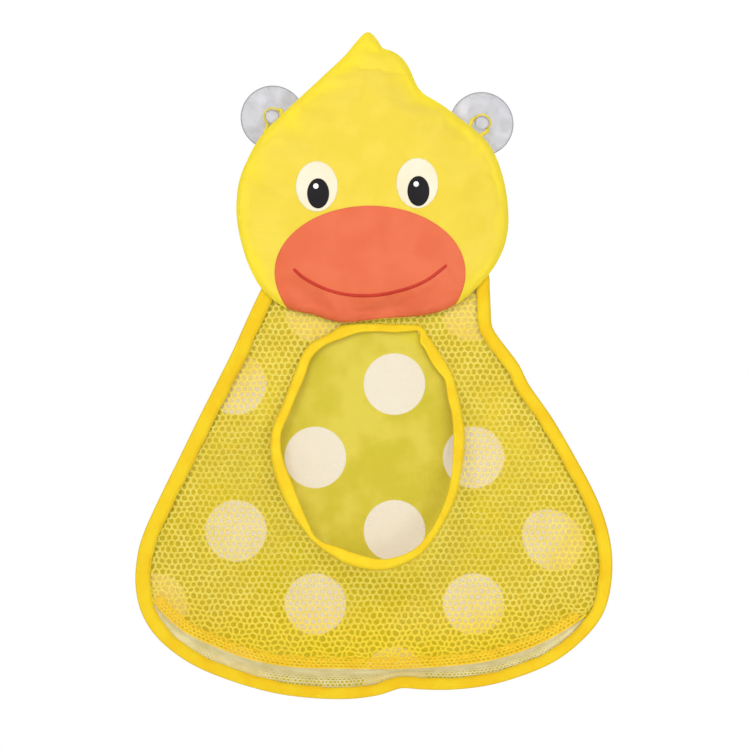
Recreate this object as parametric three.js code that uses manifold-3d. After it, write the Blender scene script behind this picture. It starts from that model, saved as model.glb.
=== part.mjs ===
// Bath toy organizer: a duck with a padded head and a net pouch, hung on a wall by two suction cups.
// Millimetres. +X is to the right seen from the front, +Y goes into the wall and +Z is up.
// The wall is the plane Y = 0, and the origin lies on it between the two cups.

import * as THREE from 'three';
import { mergeVertices } from 'three/addons/utils/BufferGeometryUtils.js';
import Module from 'manifold-3d';

const wasm = await Module();
wasm.setup();

// Main sizes: the head from crest to bill, and the pouch, which reaches up behind the head by its overlap
const headWidth = 190;
const headHeight = 203;
const headTop = 61.7;
const pouchWidth = 333;
const pouchHeight = 306.3;
const pouchOverlap = 42.7;

// Sewn layers: cloth, net and tape, with the gap kept between neighbours
const seamGap = 0.3;
const coverThickness = 0.8;
const panelThickness = 1;
const netThickness = 0.8;
const netEdgeThickness = 1.2;
const drainThickness = 0.8;
const filmThickness = 0.4;
const tapeThickness = 0.8;
const edgeTapeWidth = 9.5;
const mouthTapeWidth = 7.3;

// Suction cup: dish, neck with a groove for the cord, and button
const cup = {
  radius: 22.5,
  sealWidth: 2,
  rimThickness: 1,
  hollowDepth: 3.5,
  hollowShares: [[0.75, 0.55], [0.4, 0.9]],
  shoulderRadius: 10.5,
  shoulderHeight: 5.6,
  dishHeight: 8.5,
  neckRadius: 3.5,
  grooveWidth: 3.8,
  buttonRadius: 5,
  buttonThickness: 4,
  buttonRounding: 0.8,
  segments: 24,
};
const cupToHeadGap = 1.5;
const cordDiameter = 3;
const cordSteps = 22;
const cordQuarters = 4;
const loopTurn = [180, 140, 90, 40, 0];

// Where each loop is sewn into the head's edge: direction from the head's centre in degrees,
// distance from that edge out to the cup's axis, and half the spread of the two cord ends
const leftLoop = { direction: 136.7, reach: 4.3, spread: 12 };
const rightLoop = { direction: 38.4, reach: 7.6, spread: 4.5 };

// Outlines are seen from the front. Each point is [x, down] in shares: x of the width, from the middle,
// and down of the height, from the top.

// Head: padded, with a crest on top and the bill along its lower edge, clockwise from the crest's tip
const crownHeight = 6;
const crownFullness = 3;
const crownSteps = [0, 0.015, 0.06, 0.15, 0.32, 0.6, 1];
const paddingInset = 3;
const headMiddleShares = [0, 0.619];
const headEdgeShares = [
  [-0.019, 0], [0.008, 0.021], [0.022, 0.04], [0.033, 0.057], [0.057, 0.063], [0.089, 0.078],
  [0.118, 0.105], [0.136, 0.134], [0.159, 0.184], [0.185, 0.214], [0.237, 0.243], [0.347, 0.32],
  [0.425, 0.388], [0.471, 0.483], [0.496, 0.619], [0.485, 0.727], [0.428, 0.831], [0.302, 0.94],
  [0.205, 0.973], [0.042, 0.987], [-0.126, 1], [-0.221, 0.974], [-0.316, 0.953], [-0.411, 0.885],
  [-0.477, 0.755], [-0.504, 0.619], [-0.492, 0.509], [-0.463, 0.441], [-0.417, 0.364], [-0.254, 0.213],
  [-0.098, 0.075], [-0.048, 0.019],
];

// Face films, in shares of the head: where the middle of each one lies, and half its width and height
const billShares = { at: [-0.011, 0.826], half: [0.3505, 0.2276, 0.2463] };
const smileShares = { at: [-0.012, 0.909], half: [0.284, 0.101] };
const smileThickness = 1.8;
const smileTaper = 0.6;
const smileSteps = 16;
const eyeShares = {
  left: { white: [-0.206, 0.532], pupil: [-0.201, 0.556], glint: [-0.209, 0.531] },
  right: { white: [0.162, 0.521], pupil: [0.166, 0.548], glint: [0.158, 0.524] },
};
const eyeWhiteHalfShares = [0.0763, 0.0862];
const pupilHalfShares = [0.0405, 0.0517];
const glintHalfShares = [0.01, 0.0094];
const chordSag = 0.15;

// Pouch: outer edge of the edge binding, from the sewn top edge behind the head round to the right
const pouchEdgeShares = [
  [-0.168, 0.005], [0.006, 0], [0.177, 0.004], [0.219, 0.024], [0.243, 0.068], [0.246, 0.112],
  [0.257, 0.167], [0.284, 0.203], [0.308, 0.24], [0.325, 0.278], [0.371, 0.35], [0.43, 0.459],
  [0.474, 0.553], [0.498, 0.641], [0.501, 0.723], [0.483, 0.804], [0.443, 0.861], [0.381, 0.914],
  [0.303, 0.95], [0.234, 0.97], [0.15, 0.979], [0.09, 0.977], [0.059, 0.975], [0.018, 0.989],
  [-0.024, 0.997], [-0.08, 1], [-0.199, 0.988], [-0.315, 0.952], [-0.39, 0.915], [-0.453, 0.861],
  [-0.486, 0.806], [-0.5, 0.736], [-0.491, 0.648], [-0.462, 0.569], [-0.413, 0.46], [-0.363, 0.349],
  [-0.295, 0.203], [-0.241, 0.075], [-0.21, 0.021],
];

// Mouth: outer edge of the mouth binding in shares of the pouch, from the top left round to the right
const mouthEdgeShares = [
  [-0.078, 0.145], [0, 0.145], [0.099, 0.153], [0.139, 0.207], [0.168, 0.259], [0.185, 0.334],
  [0.19, 0.403], [0.183, 0.494], [0.16, 0.578], [0.12, 0.648], [0.082, 0.684], [0.04, 0.7],
  [-0.036, 0.699], [-0.078, 0.68], [-0.128, 0.635], [-0.183, 0.538], [-0.212, 0.442], [-0.2, 0.354],
  [-0.168, 0.272], [-0.141, 0.21], [-0.117, 0.166],
];

// Lower hem of the front net in shares of the pouch, from the edge binding on the left to the right
const hemEdgeShares = [
  [-0.447, 0.801], [-0.368, 0.868], [-0.252, 0.915], [-0.12, 0.925], [0, 0.929], [0.12, 0.924],
  [0.258, 0.906], [0.343, 0.875], [0.42, 0.827],
];
const hemWidth = 5;
const hemTuckShare = 0.3;
const tuckHeight = 30;

// The net stands off the back panel from the head's lowest point down, furthest in the middle of its lower
// part, and is tucked back along its hem
const bulgeDepth = 42;
const bulgeFullness = 1.25;

// Gaps of the two nets, drawn larger and fewer than the real ones
const netPitch = 18;
const netRowPitch = 16.6;
const netStrand = 2.8;
const drainColumns = 49;
const drainRowShares = [0, 0.08, 0.42, 0.52, 0.86, 1];
const drainBendShare = 0.6;
const netBorder = 1.6;

// Steps of a smoothed outline from one given point to the next
const outlineSteps = 2;
const hemSteps = 4;
const drainSteps = 24;

const pouchTop = headTop - headHeight + pouchOverlap;

// Layers from the wall forwards; forwards is towards -Y
const cupHeight = cup.dishHeight + cup.grooveWidth + cup.buttonThickness;
const cordY = -(cup.dishHeight + cup.grooveWidth / 2);
const headBackY = -(cupHeight + cupToHeadGap);
const headRimY = headBackY - coverThickness - seamGap;
const headSeamY = (headBackY + headRimY - coverThickness) / 2;
const tapeFrontY = headBackY + seamGap;
const netFrontY = tapeFrontY + tapeThickness + seamGap;
const netBackY = netFrontY + netEdgeThickness;
const netMidY = (netFrontY + netBackY) / 2;
const drainMidY = netBackY + seamGap + drainThickness / 2;
const panelFrontY = netBackY + drainThickness + 2 * seamGap;
const panelBackY = panelFrontY + panelThickness;
const tapeBackY = panelBackY + seamGap + tapeThickness;
const channelInset = tapeThickness + seamGap;
const lipInset = edgeTapeWidth + netBorder;

const cloth = (color) => new THREE.MeshStandardMaterial({ color, roughness: 0.85, metalness: 0 });
const film = (color) => new THREE.MeshStandardMaterial({ color, roughness: 0.6, metalness: 0 });
const clearVinyl = new THREE.MeshStandardMaterial({ color: 0xd9d6d9, roughness: 0.2, metalness: 0 });

// Outline helpers, on points [x, z]

const inHead = ([x, down]) => [x * headWidth, headTop - down * headHeight];
const ofHead = ([wide, ...tall]) => [wide * headWidth, ...tall.map((share) => share * headHeight)];
const inPouch = ([x, down]) => [x * pouchWidth, pouchTop - down * pouchHeight];

function smoothOutline(points, closed, stepsPerPoint) {
  const vectors = points.map(([x, z]) => new THREE.Vector3(x, 0, z));
  const curve = new THREE.CatmullRomCurve3(vectors, closed, 'centripetal');
  const spans = closed ? points.length : points.length - 1;
  const samples = curve.getPoints(spans * stepsPerPoint).map((point) => [point.x, point.z]);
  return closed ? samples.slice(0, -1) : samples;
}

// Moves a clockwise outline inwards by a distance, along the mean normal at each point
function inset(outline, distance) {
  return outline.map(([x, z], index) => {
    const before = outline[(index + outline.length - 1) % outline.length];
    const after = outline[(index + 1) % outline.length];
    const along = [after[0] - before[0], after[1] - before[1]];
    const length = Math.hypot(...along);
    return [x + (along[1] / length) * distance, z - (along[0] / length) * distance];
  });
}

function isInside([x, z], outline) {
  let inside = false;
  outline.forEach(([x1, z1], index) => {
    const [x0, z0] = outline[(index + outline.length - 1) % outline.length];
    const crosses = (z1 > z) !== (z0 > z);
    if (crosses && x < ((x0 - x1) * (z - z1)) / (z0 - z1) + x1) inside = !inside;
  });
  return inside;
}

// Nearest place on a clockwise outline, with its outward normal
function nearestOn(outline, [x, z]) {
  let best = null;
  outline.forEach(([x1, z1], index) => {
    const [x0, z0] = outline[(index + outline.length - 1) % outline.length];
    const along = [x1 - x0, z1 - z0];
    const share = ((x - x0) * along[0] + (z - z0) * along[1]) / (along[0] ** 2 + along[1] ** 2);
    const held = THREE.MathUtils.clamp(share, 0, 1);
    const point = [x0 + along[0] * held, z0 + along[1] * held];
    const distance = Math.hypot(x - point[0], z - point[1]);
    const length = Math.hypot(...along);
    const normal = [-along[1] / length, along[0] / length];
    if (!best || distance < best.distance) best = { point, distance, index, normal };
  });
  return best;
}

// Left and right end of an outline at one level
function spanAt(outline, level) {
  const crossings = [];
  outline.forEach(([x1, z1], index) => {
    const [x0, z0] = outline[(index + outline.length - 1) % outline.length];
    if ((z1 > level) !== (z0 > level)) crossings.push(x0 + ((x1 - x0) * (level - z0)) / (z1 - z0));
  });
  return [Math.min(...crossings), Math.max(...crossings)];
}

// Where a line from one point to another leaves an outline
function crossing(outline, [[fromX, fromZ], [toX, toZ]]) {
  const run = [toX - fromX, toZ - fromZ];
  let farthest = 0;
  outline.forEach(([x1, z1], index) => {
    const [x0, z0] = outline[(index + outline.length - 1) % outline.length];
    const edge = [x1 - x0, z1 - z0];
    const cross = run[0] * edge[1] - run[1] * edge[0];
    const share = ((x0 - fromX) * edge[1] - (z0 - fromZ) * edge[0]) / cross;
    const onEdge = ((x0 - fromX) * run[1] - (z0 - fromZ) * run[0]) / cross;
    if (onEdge >= 0 && onEdge <= 1 && share > farthest) farthest = share;
  });
  return [fromX + run[0] * farthest, fromZ + run[1] * farthest];
}

const toVectors = (outline) => outline.map(([x, z]) => new THREE.Vector2(x, z));
const toShape = (outline) => new THREE.Shape(toVectors(outline));
const toHole = (outline) => new THREE.Path(toVectors(outline).reverse());

// An ellipse drawn with chords, whose upper and lower half may differ in height
function ellipseOutline([x, z], [halfWidth, upper, lower = upper]) {
  const count = Math.ceil(Math.PI * Math.sqrt(Math.max(halfWidth, upper, lower) / (2 * chordSag)));
  return Array.from({ length: count }, (_, index) => {
    const angle = (-2 * Math.PI * index) / count;
    const height = Math.sin(angle) > 0 ? upper : lower;
    return [x + halfWidth * Math.cos(angle), z + height * Math.sin(angle)];
  });
}

// Solid helpers

// Flat prisms standing on their outlines in XZ, from frontY back to backY
function prisms(shapes, frontY, backY) {
  const geometry = new THREE.ExtrudeGeometry(shapes, { depth: backY - frontY, bevelEnabled: false });
  geometry.rotateX(Math.PI / 2);
  return geometry.translate(0, backY, 0);
}

function sheet(outline, holes, frontY, backY) {
  const shape = toShape(outline);
  shape.holes.push(...holes.map(toHole));
  return prisms(shape, frontY, backY);
}

function fromTriangles(positions, indices) {
  const geometry = new THREE.BufferGeometry();
  geometry.setAttribute('position', new THREE.Float32BufferAttribute(positions, 3));
  geometry.setIndex(indices);
  return geometry;
}

function toSolid(geometry) {
  const bare = geometry.clone();
  bare.deleteAttribute('normal');
  bare.deleteAttribute('uv');
  const merged = mergeVertices(bare, 1e-4);
  const vertProperties = new Float32Array(merged.attributes.position.array);
  const triVerts = new Uint32Array(merged.index.array);
  return new wasm.Manifold(new wasm.Mesh({ numProp: 3, vertProperties, triVerts }));
}

function fromSolid(solid) {
  const { vertProperties, triVerts } = solid.getMesh();
  return fromTriangles(Array.from(vertProperties), Array.from(triVerts));
}

// Joins closed rings of points, the last one to the first, into one skin
function loft(rings) {
  const size = rings[0].length;
  const indices = [];
  for (let run = 0; run < rings.length; run += 1) {
    const here = run * size;
    const next = ((run + 1) % rings.length) * size;
    for (let side = 0; side < size; side += 1) {
      const other = (side + 1) % size;
      indices.push(here + side, next + side, next + other, here + side, next + other, here + other);
    }
  }
  return fromTriangles(rings.flat(2), indices);
}

// A sheet over a grid of points, with the cells that isGap names left open
function gridSheet(columns, isGap, thickness) {
  const [wide, tall] = [columns.length, columns[0].length];
  const { clamp } = THREE.MathUtils;
  const at = (column, row) => columns[clamp(column, 0, wide - 1)][clamp(row, 0, tall - 1)];
  const positions = [];
  for (const side of [-0.5, 0.5]) {
    columns.forEach((points, column) => points.forEach((point, row) => {
      const across = at(column + 1, row).clone().sub(at(column - 1, row));
      const along = at(column, row + 1).clone().sub(at(column, row - 1));
      const normal = across.cross(along).normalize();
      positions.push(...point.clone().addScaledVector(normal, side * thickness).toArray());
    }));
  }
  const corner = (column, row) => column * tall + row;
  const half = wide * tall;
  const isOn = (column, row) => column >= 0 && row >= 0 && column < wide - 1 && row < tall - 1;
  const isCloth = (column, row) => isOn(column, row) && !isGap(column, row);
  const indices = [];
  for (let column = 0; column < wide - 1; column += 1) {
    for (let row = 0; row < tall - 1; row += 1) {
      if (!isCloth(column, row)) continue;
      const loop = [[0, 0], [1, 0], [1, 1], [0, 1]].map(([dc, dr]) => corner(column + dc, row + dr));
      const beyond = [[0, -1], [1, 0], [0, 1], [-1, 0]];
      const [a, b, c, d] = loop;
      indices.push(half + a, half + b, half + c, half + a, half + c, half + d, a, c, b, a, d, c);
      beyond.forEach(([dc, dr], side) => {
        if (isCloth(column + dc, row + dr)) return;
        const [from, to] = [loop[side], loop[(side + 1) % 4]];
        indices.push(from, to, half + to, from, half + to, half + from);
      });
    }
  }
  return fromTriangles(positions, indices);
}

// A section [across, forward] swept along a closed outline; across runs inwards, depthAt moves it forwards
function sweep(outline, section, depthAt) {
  const lines = section.map(([across]) => inset(outline, across));
  const rings = outline.map((_, index) => section.map(([, forward], corner) => {
    const [x, z] = lines[corner][index];
    return [x, -forward - depthAt(x, z), z];
  }));
  return loft(rings);
}

// Folded tape: a U whose fold lies on the outline and whose open side is inset from it
function foldedTape(outline, width, innerDepth, depthAt) {
  const outer = innerDepth / 2 + tapeThickness;
  const inner = innerDepth / 2;
  const fold = tapeThickness * Math.sign(width);
  const section = [
    [0, -inner], [0, inner], [fold, outer], [width, outer], [width, inner], [fold, inner],
    [fold, -inner], [width, -inner], [width, -outer], [fold, -outer],
  ];
  return sweep(outline, width > 0 ? section.reverse() : section, depthAt);
}

// Head

const headCentre = inHead(headMiddleShares);
const headOutline = smoothOutline(headEdgeShares.map(inHead), true, outlineSteps);
const headLow = Math.min(...headOutline.map(([, z]) => z));
const crownAt = (share) => crownHeight * Math.sqrt(1 - (1 - share) ** crownFullness);

// Height of the faceted crown, straight between its steps
function crownFacet(share) {
  const upper = crownSteps.findIndex((step) => step >= share);
  if (upper < 1) return 0;
  const [from, to] = [crownSteps[upper - 1], crownSteps[upper]];
  return THREE.MathUtils.mapLinear(share, from, to, crownAt(from), crownAt(to));
}

// A padded layer over the head's outline. front(share) and back(share) give Y, where share runs from 0 at
// the edge to 1 at the centre.
function crownedLayer(edgeInset, front, back) {
  const count = headOutline.length;
  const [centreX, centreZ] = headCentre;
  const reach = headOutline.map(([x, z]) => Math.hypot(x - centreX, z - centreZ));
  const innerSteps = crownSteps.filter((step) => step < 1 && step * Math.min(...reach) > edgeInset);
  const outerRing = reach.map((length) => edgeInset / length);
  const rings = [outerRing, ...innerSteps.map((step) => reach.map(() => step))];
  const sideSize = rings.length * count + 1;
  const positions = [];
  for (const height of [front, back]) {
    rings.forEach((shares) => headOutline.forEach(([x, z], index) => {
      const share = shares[index];
      positions.push(x + (centreX - x) * share, height(share), z + (centreZ - z) * share);
    }));
    positions.push(centreX, height(1), centreZ);
  }
  const indices = [];
  const addFace = (a, b, c) => indices.push(a, c, b, sideSize + a, sideSize + b, sideSize + c);
  for (let index = 0; index < count; index += 1) {
    const after = (index + 1) % count;
    for (let ring = 0; ring < rings.length - 1; ring += 1) {
      const here = ring * count;
      addFace(here + index, here + after, here + count + after);
      addFace(here + index, here + count + after, here + count + index);
    }
    const last = (rings.length - 1) * count;
    addFace(last + index, last + after, sideSize - 1);
    indices.push(index, sideSize + after, sideSize + index, index, after, sideSize + after);
  }
  return fromTriangles(positions, indices);
}

const coverFrontY = (share) => headRimY - coverThickness - crownFacet(share);
const coverBackY = (share) => headRimY - crownFacet(share);

function headFrontCover() {
  return crownedLayer(0, coverFrontY, coverBackY);
}

function headBackCover() {
  return sheet(headOutline, [], headBackY - coverThickness, headBackY);
}

function headPadding() {
  const flatBack = headBackY - coverThickness - seamGap;
  return crownedLayer(paddingInset, (share) => coverBackY(share) + seamGap, () => flatBack);
}

// Films follow the head's crown in layers, each cut to its outline
function pressedFilm(outline, layer) {
  const lift = seamGap + (layer - 1) * (filmThickness + seamGap);
  const back = (share) => coverFrontY(share) - lift;
  const front = (share) => back(share) - filmThickness;
  const skin = toSolid(crownedLayer(0, front, back));
  const reach = crownHeight + layer * (filmThickness + seamGap);
  const cutter = toSolid(sheet(outline, [], headRimY - coverThickness - 2 * reach, headBackY));
  return fromSolid(skin.intersect(cutter));
}

function smileOutline() {
  const [middleX, middleZ] = inHead(smileShares.at);
  const [halfWidth, rise] = ofHead(smileShares.half);
  const upper = [];
  const lower = [];
  for (let step = 0; step <= smileSteps; step += 1) {
    const share = (2 * step) / smileSteps - 1;
    const half = (smileThickness / 2) * (1 - smileTaper * share ** 4);
    const [x, z] = [middleX + halfWidth * share, middleZ + rise * share ** 2];
    upper.push([x, z + half]);
    lower.unshift([x, z - half]);
  }
  return [...upper, ...lower];
}

// Pouch

const pouchOutline = smoothOutline(pouchEdgeShares.map(inPouch), true, outlineSteps);
const channelOutline = inset(pouchOutline, channelInset);
const lipOutline = inset(pouchOutline, lipInset);
const mouthOuter = smoothOutline(mouthEdgeShares.map(inPouch), true, outlineSteps);
const mouthOutline = inset(mouthOuter, mouthTapeWidth);
const mouthHole = inset(mouthOutline, -(mouthTapeWidth + netBorder / 2));
const hemPoints = hemEdgeShares.map(inPouch);
const hemLine = smoothOutline(hemPoints, false, hemSteps);
const hemEnds = [hemLine[0], hemLine[hemLine.length - 1]];
const hemLow = Math.min(...hemLine.map(([, z]) => z));
const widestLevel = Math.max(hemEnds[0][1], hemEnds[1][1]);

// Level of the hem below a place on the net
function hemLevel(x) {
  const after = hemLine.findIndex(([hemX]) => hemX > x);
  if (after < 1) return after < 0 ? hemEnds[1][1] : hemEnds[0][1];
  const [[x0, z0], [x1, z1]] = [hemLine[after - 1], hemLine[after]];
  return THREE.MathUtils.mapLinear(x, x0, x1, z0, z1);
}

// How far the net stands forward of its flat place inside the binding
function bulgeAt(x, z) {
  if (z >= headLow) return 0;
  const [left, right] = spanAt(lipOutline, Math.max(z, widestLevel));
  const share = Math.abs((2 * x - left - right) / (right - left));
  if (share >= 1) return 0;
  const drop = (headLow - z) / (headLow - hemLow);
  const nearHem = THREE.MathUtils.clamp(1 - (z - hemLevel(x)) / tuckHeight, 0, 1);
  return bulgeDepth * drop * (1 - hemTuckShare * nearHem ** 2) * (1 - share ** 2) ** bulgeFullness;
}

// The part of an inset pouch outline from the hem's left end over the top to its right end
function overTop(outline) {
  const [first, last] = [nearestOn(outline, hemEnds[0]), nearestOn(outline, hemEnds[1])];
  const points = [first.point];
  for (let step = first.index; step !== last.index; step = (step + 1) % outline.length) {
    points.push(outline[step]);
  }
  return [...points, last.point];
}

function hexagon([x, z]) {
  const across = (netPitch - netStrand) / 2;
  const slant = across / Math.sqrt(3);
  const tall = (netRowPitch / netPitch) * (2 / Math.sqrt(3)) * across;
  const low = tall - slant;
  return [[0, tall], [across, low], [across, -low], [0, -tall], [-across, -low], [-across, low]]
    .map(([dx, dz]) => [x + dx, z + dz]);
}

// The net's doubled edge inside the mouth binding
function mouthHem() {
  const [near, far, half] = [-channelInset, -(mouthTapeWidth + netBorder), netEdgeThickness / 2];
  const section = [[near, -half], [near, half], [far, half], [far, -half]];
  return sweep(mouthOutline, section, bulgeAt).translate(0, netMidY, 0);
}

// The net's doubled edge inside the edge binding, open along the hem
function sideHem() {
  const inner = inset(pouchOutline, lipInset + netBorder / 2);
  return sheet([...overTop(channelOutline), ...overTop(inner).reverse()], [], netFrontY, netBackY);
}

// Where the net may have gaps: clear of both bindings and of the hem
function netRegion(frontY, backY) {
  const solid = (outline) => toSolid(sheet(outline, [], frontY, backY));
  const raised = hemLine.map(([x, z]) => [x, z + hemWidth]);
  const [first, last] = [raised[0], raised[raised.length - 1]];
  const low = pouchTop - 2 * pouchHeight;
  const [leftOut, rightOut] = [[-pouchWidth, first[1]], [pouchWidth, last[1]]];
  const below = [leftOut, ...raised, rightOut, [last[0], low], [first[0], low]];
  const inner = inset(pouchOutline, lipInset + 2 * netBorder);
  return solid(inner).subtract(solid(below)).subtract(solid(inset(mouthOuter, -2 * netBorder)));
}

// Staggered rows of hexagonal gaps, trimmed to the net's region
function netGaps() {
  const [frontY, backY] = [netMidY - netThickness, netMidY + netThickness];
  const [left, top] = [Math.min(...lipOutline.map(([x]) => x)), Math.max(...lipOutline.map(([, z]) => z))];
  const right = Math.max(...lipOutline.map(([x]) => x));
  const isKept = (point) => isInside(point, lipOutline) && !isInside(point, mouthOuter);
  const gaps = [];
  for (let row = 0; hemLow + row * netRowPitch < top; row += 1) {
    const start = left + ((row % 2) / 2) * netPitch;
    for (let x = start; x < right; x += netPitch) {
      const centre = [x, hemLow + row * netRowPitch];
      if (isKept(centre)) gaps.push(toShape(hexagon(centre)));
    }
  }
  return toSolid(prisms(gaps, frontY, backY)).intersect(netRegion(frontY, backY));
}

function frontNet() {
  const field = [...overTop(lipOutline), ...[...hemLine].reverse()];
  const half = netThickness / 2;
  const flat = toSolid(sheet(field, [mouthHole], netMidY - half, netMidY + half)).subtract(netGaps());
  const stoodOff = flat.warp((place) => {
    place[1] -= bulgeAt(place[0], place[2]);
  });
  return fromSolid(stoodOff.add(toSolid(sideHem())).add(toSolid(mouthHem())));
}

function backPanel() {
  return sheet(channelOutline, [], panelFrontY, panelBackY);
}

function edgeBinding() {
  const innerDepth = tapeBackY - tapeFrontY - 2 * tapeThickness;
  const geometry = foldedTape(pouchOutline, edgeTapeWidth, innerDepth, () => 0);
  return geometry.translate(0, (tapeFrontY + tapeBackY) / 2, 0);
}

function mouthBinding() {
  const geometry = foldedTape(mouthOutline, -mouthTapeWidth, netEdgeThickness + 2 * seamGap, bulgeAt);
  return geometry.translate(0, netMidY, 0);
}

// Drain net: a floor that leaves the binding upwards, turns forwards and ends under the net's hem
function drainNet() {
  const turn = edgeTapeWidth + netBorder;
  const dense = smoothOutline(hemPoints, false, drainSteps);
  const open = dense.filter((point) => nearestOn(pouchOutline, point).distance > turn + hemWidth / 2);
  const curve = new THREE.CatmullRomCurve3(open.map(([x, z]) => new THREE.Vector3(x, 0, z)));
  const columns = curve.getSpacedPoints(drainColumns).map(({ x, z }) => {
    const hem = [x, z];
    const { point: root } = nearestOn(channelOutline, hem);
    const length = Math.hypot(hem[0] - root[0], hem[1] - root[1]);
    const up = [(hem[0] - root[0]) / length, (hem[1] - root[1]) / length];
    const at = (rise, y) => new THREE.Vector3(root[0] + up[0] * rise, y, root[1] + up[1] * rise);
    const [from, to] = [turn - channelInset, length - seamGap - drainThickness];
    const bend = at(from + (to - from) * drainBendShare, drainMidY);
    const end = at(to, netMidY - bulgeAt(x, z));
    const floor = new THREE.QuadraticBezierCurve3(at(from, drainMidY), bend, end);
    return [at(0, drainMidY), ...drainRowShares.map((share) => floor.getPoint(share))];
  });
  const isGap = (column, row) => (row === 2 && column % 2 === 1) || (row === 4 && column % 2 === 0);
  return gridSheet(columns, isGap, drainThickness);
}

// Suction cup, turned about Y with its sealing rim on the wall
function suctionCup() {
  const inner = cup.radius - cup.sealWidth;
  const hollow = cup.hollowShares.map(([share, depth]) => [inner * share, cup.hollowDepth * depth]);
  const neckEnd = cup.dishHeight + cup.grooveWidth;
  const profile = [
    [0, cupHeight], [cup.buttonRadius - cup.buttonRounding, cupHeight],
    [cup.buttonRadius, cupHeight - cup.buttonRounding], [cup.buttonRadius, neckEnd + cup.buttonRounding],
    [cup.buttonRadius - cup.buttonRounding, neckEnd], [cup.neckRadius, neckEnd],
    [cup.neckRadius, cup.dishHeight], [cup.buttonRadius, cup.dishHeight],
    [cup.shoulderRadius, cup.shoulderHeight],
    [(cup.shoulderRadius + cup.radius) / 2, (cup.shoulderHeight + cup.rimThickness) / 2],
    [cup.radius, cup.rimThickness], [cup.radius, 0], [inner, 0], ...hollow, [0, cup.hollowDepth],
  ];
  const points = profile.map(([radius, height]) => new THREE.Vector2(radius, -height));
  return new THREE.LatheGeometry(points, cup.segments);
}

// Places of one loop: the cup's axis, the cord's two sewn ends and its way round the cup's neck
function loopRoute({ direction, reach, spread }) {
  const angle = THREE.MathUtils.degToRad(direction);
  const far = 2 * Math.max(...headOutline.flat().map(Math.abs));
  const ray = [headCentre, [headCentre[0] + far * Math.cos(angle), headCentre[1] + far * Math.sin(angle)]];
  const seat = crossing(headOutline, ray);
  const { normal } = nearestOn(headOutline, seat);
  const along = [normal[1], -normal[0]];
  const at = (side, out) => seat.map((value, index) => value + along[index] * side + normal[index] * out);
  const cordRadius = cordDiameter / 2;
  const end = (side) => {
    const { point, normal: outward } = nearestOn(headOutline, at(side * spread, 0));
    const off = cordRadius + seamGap;
    return new THREE.Vector3(point[0] + outward[0] * off, headSeamY, point[1] + outward[1] * off);
  };
  const wrap = cup.neckRadius + seamGap + cordRadius;
  const flare = cup.buttonRadius + 2 * seamGap + cordRadius;
  const place = (side, out, y) => new THREE.Vector3(at(side, out)[0], y, at(side, out)[1]);
  const beside = (side) => place(side * flare, reach - cordRadius, cordY - cup.grooveWidth / 2);
  const turn = loopTurn.map((degrees) => {
    const around = THREE.MathUtils.degToRad(degrees);
    return place(wrap * Math.cos(around), reach + wrap * Math.sin(around), cordY);
  });
  const ends = [end(-1), end(1)];
  const route = [ends[0], beside(-1), ...turn, beside(1), ends[1]];
  return { axis: at(0, reach), ends, route };
}

function hangingLoop({ route }) {
  const path = new THREE.CatmullRomCurve3(route, false, 'centripetal');
  const section = new THREE.Shape();
  section.absarc(0, 0, cordDiameter / 2, 0, 2 * Math.PI);
  const options = { steps: cordSteps, curveSegments: cordQuarters, extrudePath: path };
  return new THREE.ExtrudeGeometry(section, options);
}

// Assembly

const organizer = new THREE.Group();

function add(name, geometry, material, [x, z] = [0, 0]) {
  const mesh = new THREE.Mesh(geometry, material);
  mesh.name = name;
  mesh.position.set(x, 0, z);
  organizer.add(mesh);
}

const yellow = 0xf5e04c;
const tapeYellow = 0xfdd623;
add('head_front_cover', headFrontCover(), cloth(yellow));
add('head_back_cover', headBackCover(), cloth(yellow));
add('head_padding', headPadding(), cloth(0xf4f1e8));
const disc = (at, half, layer) => pressedFilm(ellipseOutline(inHead(at), ofHead(half)), layer);
add('bill', disc(billShares.at, billShares.half, 1), film(0xf17750));
add('smile_line', pressedFilm(smileOutline(), 2), film(0xd64028));
for (const [side, eye] of Object.entries(eyeShares)) {
  add(`eye_white_${side}`, disc(eye.white, eyeWhiteHalfShares, 1), film(0xfcf6dc));
  add(`pupil_${side}`, disc(eye.pupil, pupilHalfShares, 2), film(0x343034));
  add(`eye_glint_${side}`, disc(eye.glint, glintHalfShares, 3), film(0xffffff));
}
add('back_panel', backPanel(), cloth(0xdece48));
add('front_net', frontNet(), cloth(yellow));
add('drain_net', drainNet(), cloth(0xd7cdaa));
add('edge_binding', edgeBinding(), cloth(tapeYellow));
add('mouth_binding', mouthBinding(), cloth(tapeYellow));
const routes = { left: loopRoute(leftLoop), right: loopRoute(rightLoop) };
for (const [side, route] of Object.entries(routes)) {
  add(`suction_cup_${side}`, suctionCup(), clearVinyl, route.axis);
  add(`hanging_loop_${side}`, hangingLoop(route), cloth(tapeYellow));
}

// Joint axes, for whoever moves the part
const neckLevel = Math.max(...pouchOutline.map(([, z]) => z));
const mouthTop = Math.max(...mouthOuter.map(([, z]) => z));
organizer.userData.joints = {
  neck_fold: { at: [0, tapeBackY, neckLevel], axis: [1, 0, 0] },
  pouch_flatten: { at: [0, netMidY, mouthTop], axis: [1, 0, 0] },
  ...Object.fromEntries(Object.entries(routes).flatMap(([side, { axis, ends: [from, to] }]) => [
    [`loop_${side}_swing`, {
      at: from.clone().lerp(to, 0.5).toArray(),
      axis: to.clone().sub(from).normalize().toArray(),
    }],
    [`cup_${side}_turn`, { at: [axis[0], cordY, axis[1]], axis: [0, 1, 0] }],
  ])),
};

export default organizer;
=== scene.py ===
import math

import bmesh
import bpy
import numpy as np
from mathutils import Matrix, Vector
from mathutils.bvhtree import BVHTree
from mathutils.geometry import delaunay_2d_cdt


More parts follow.
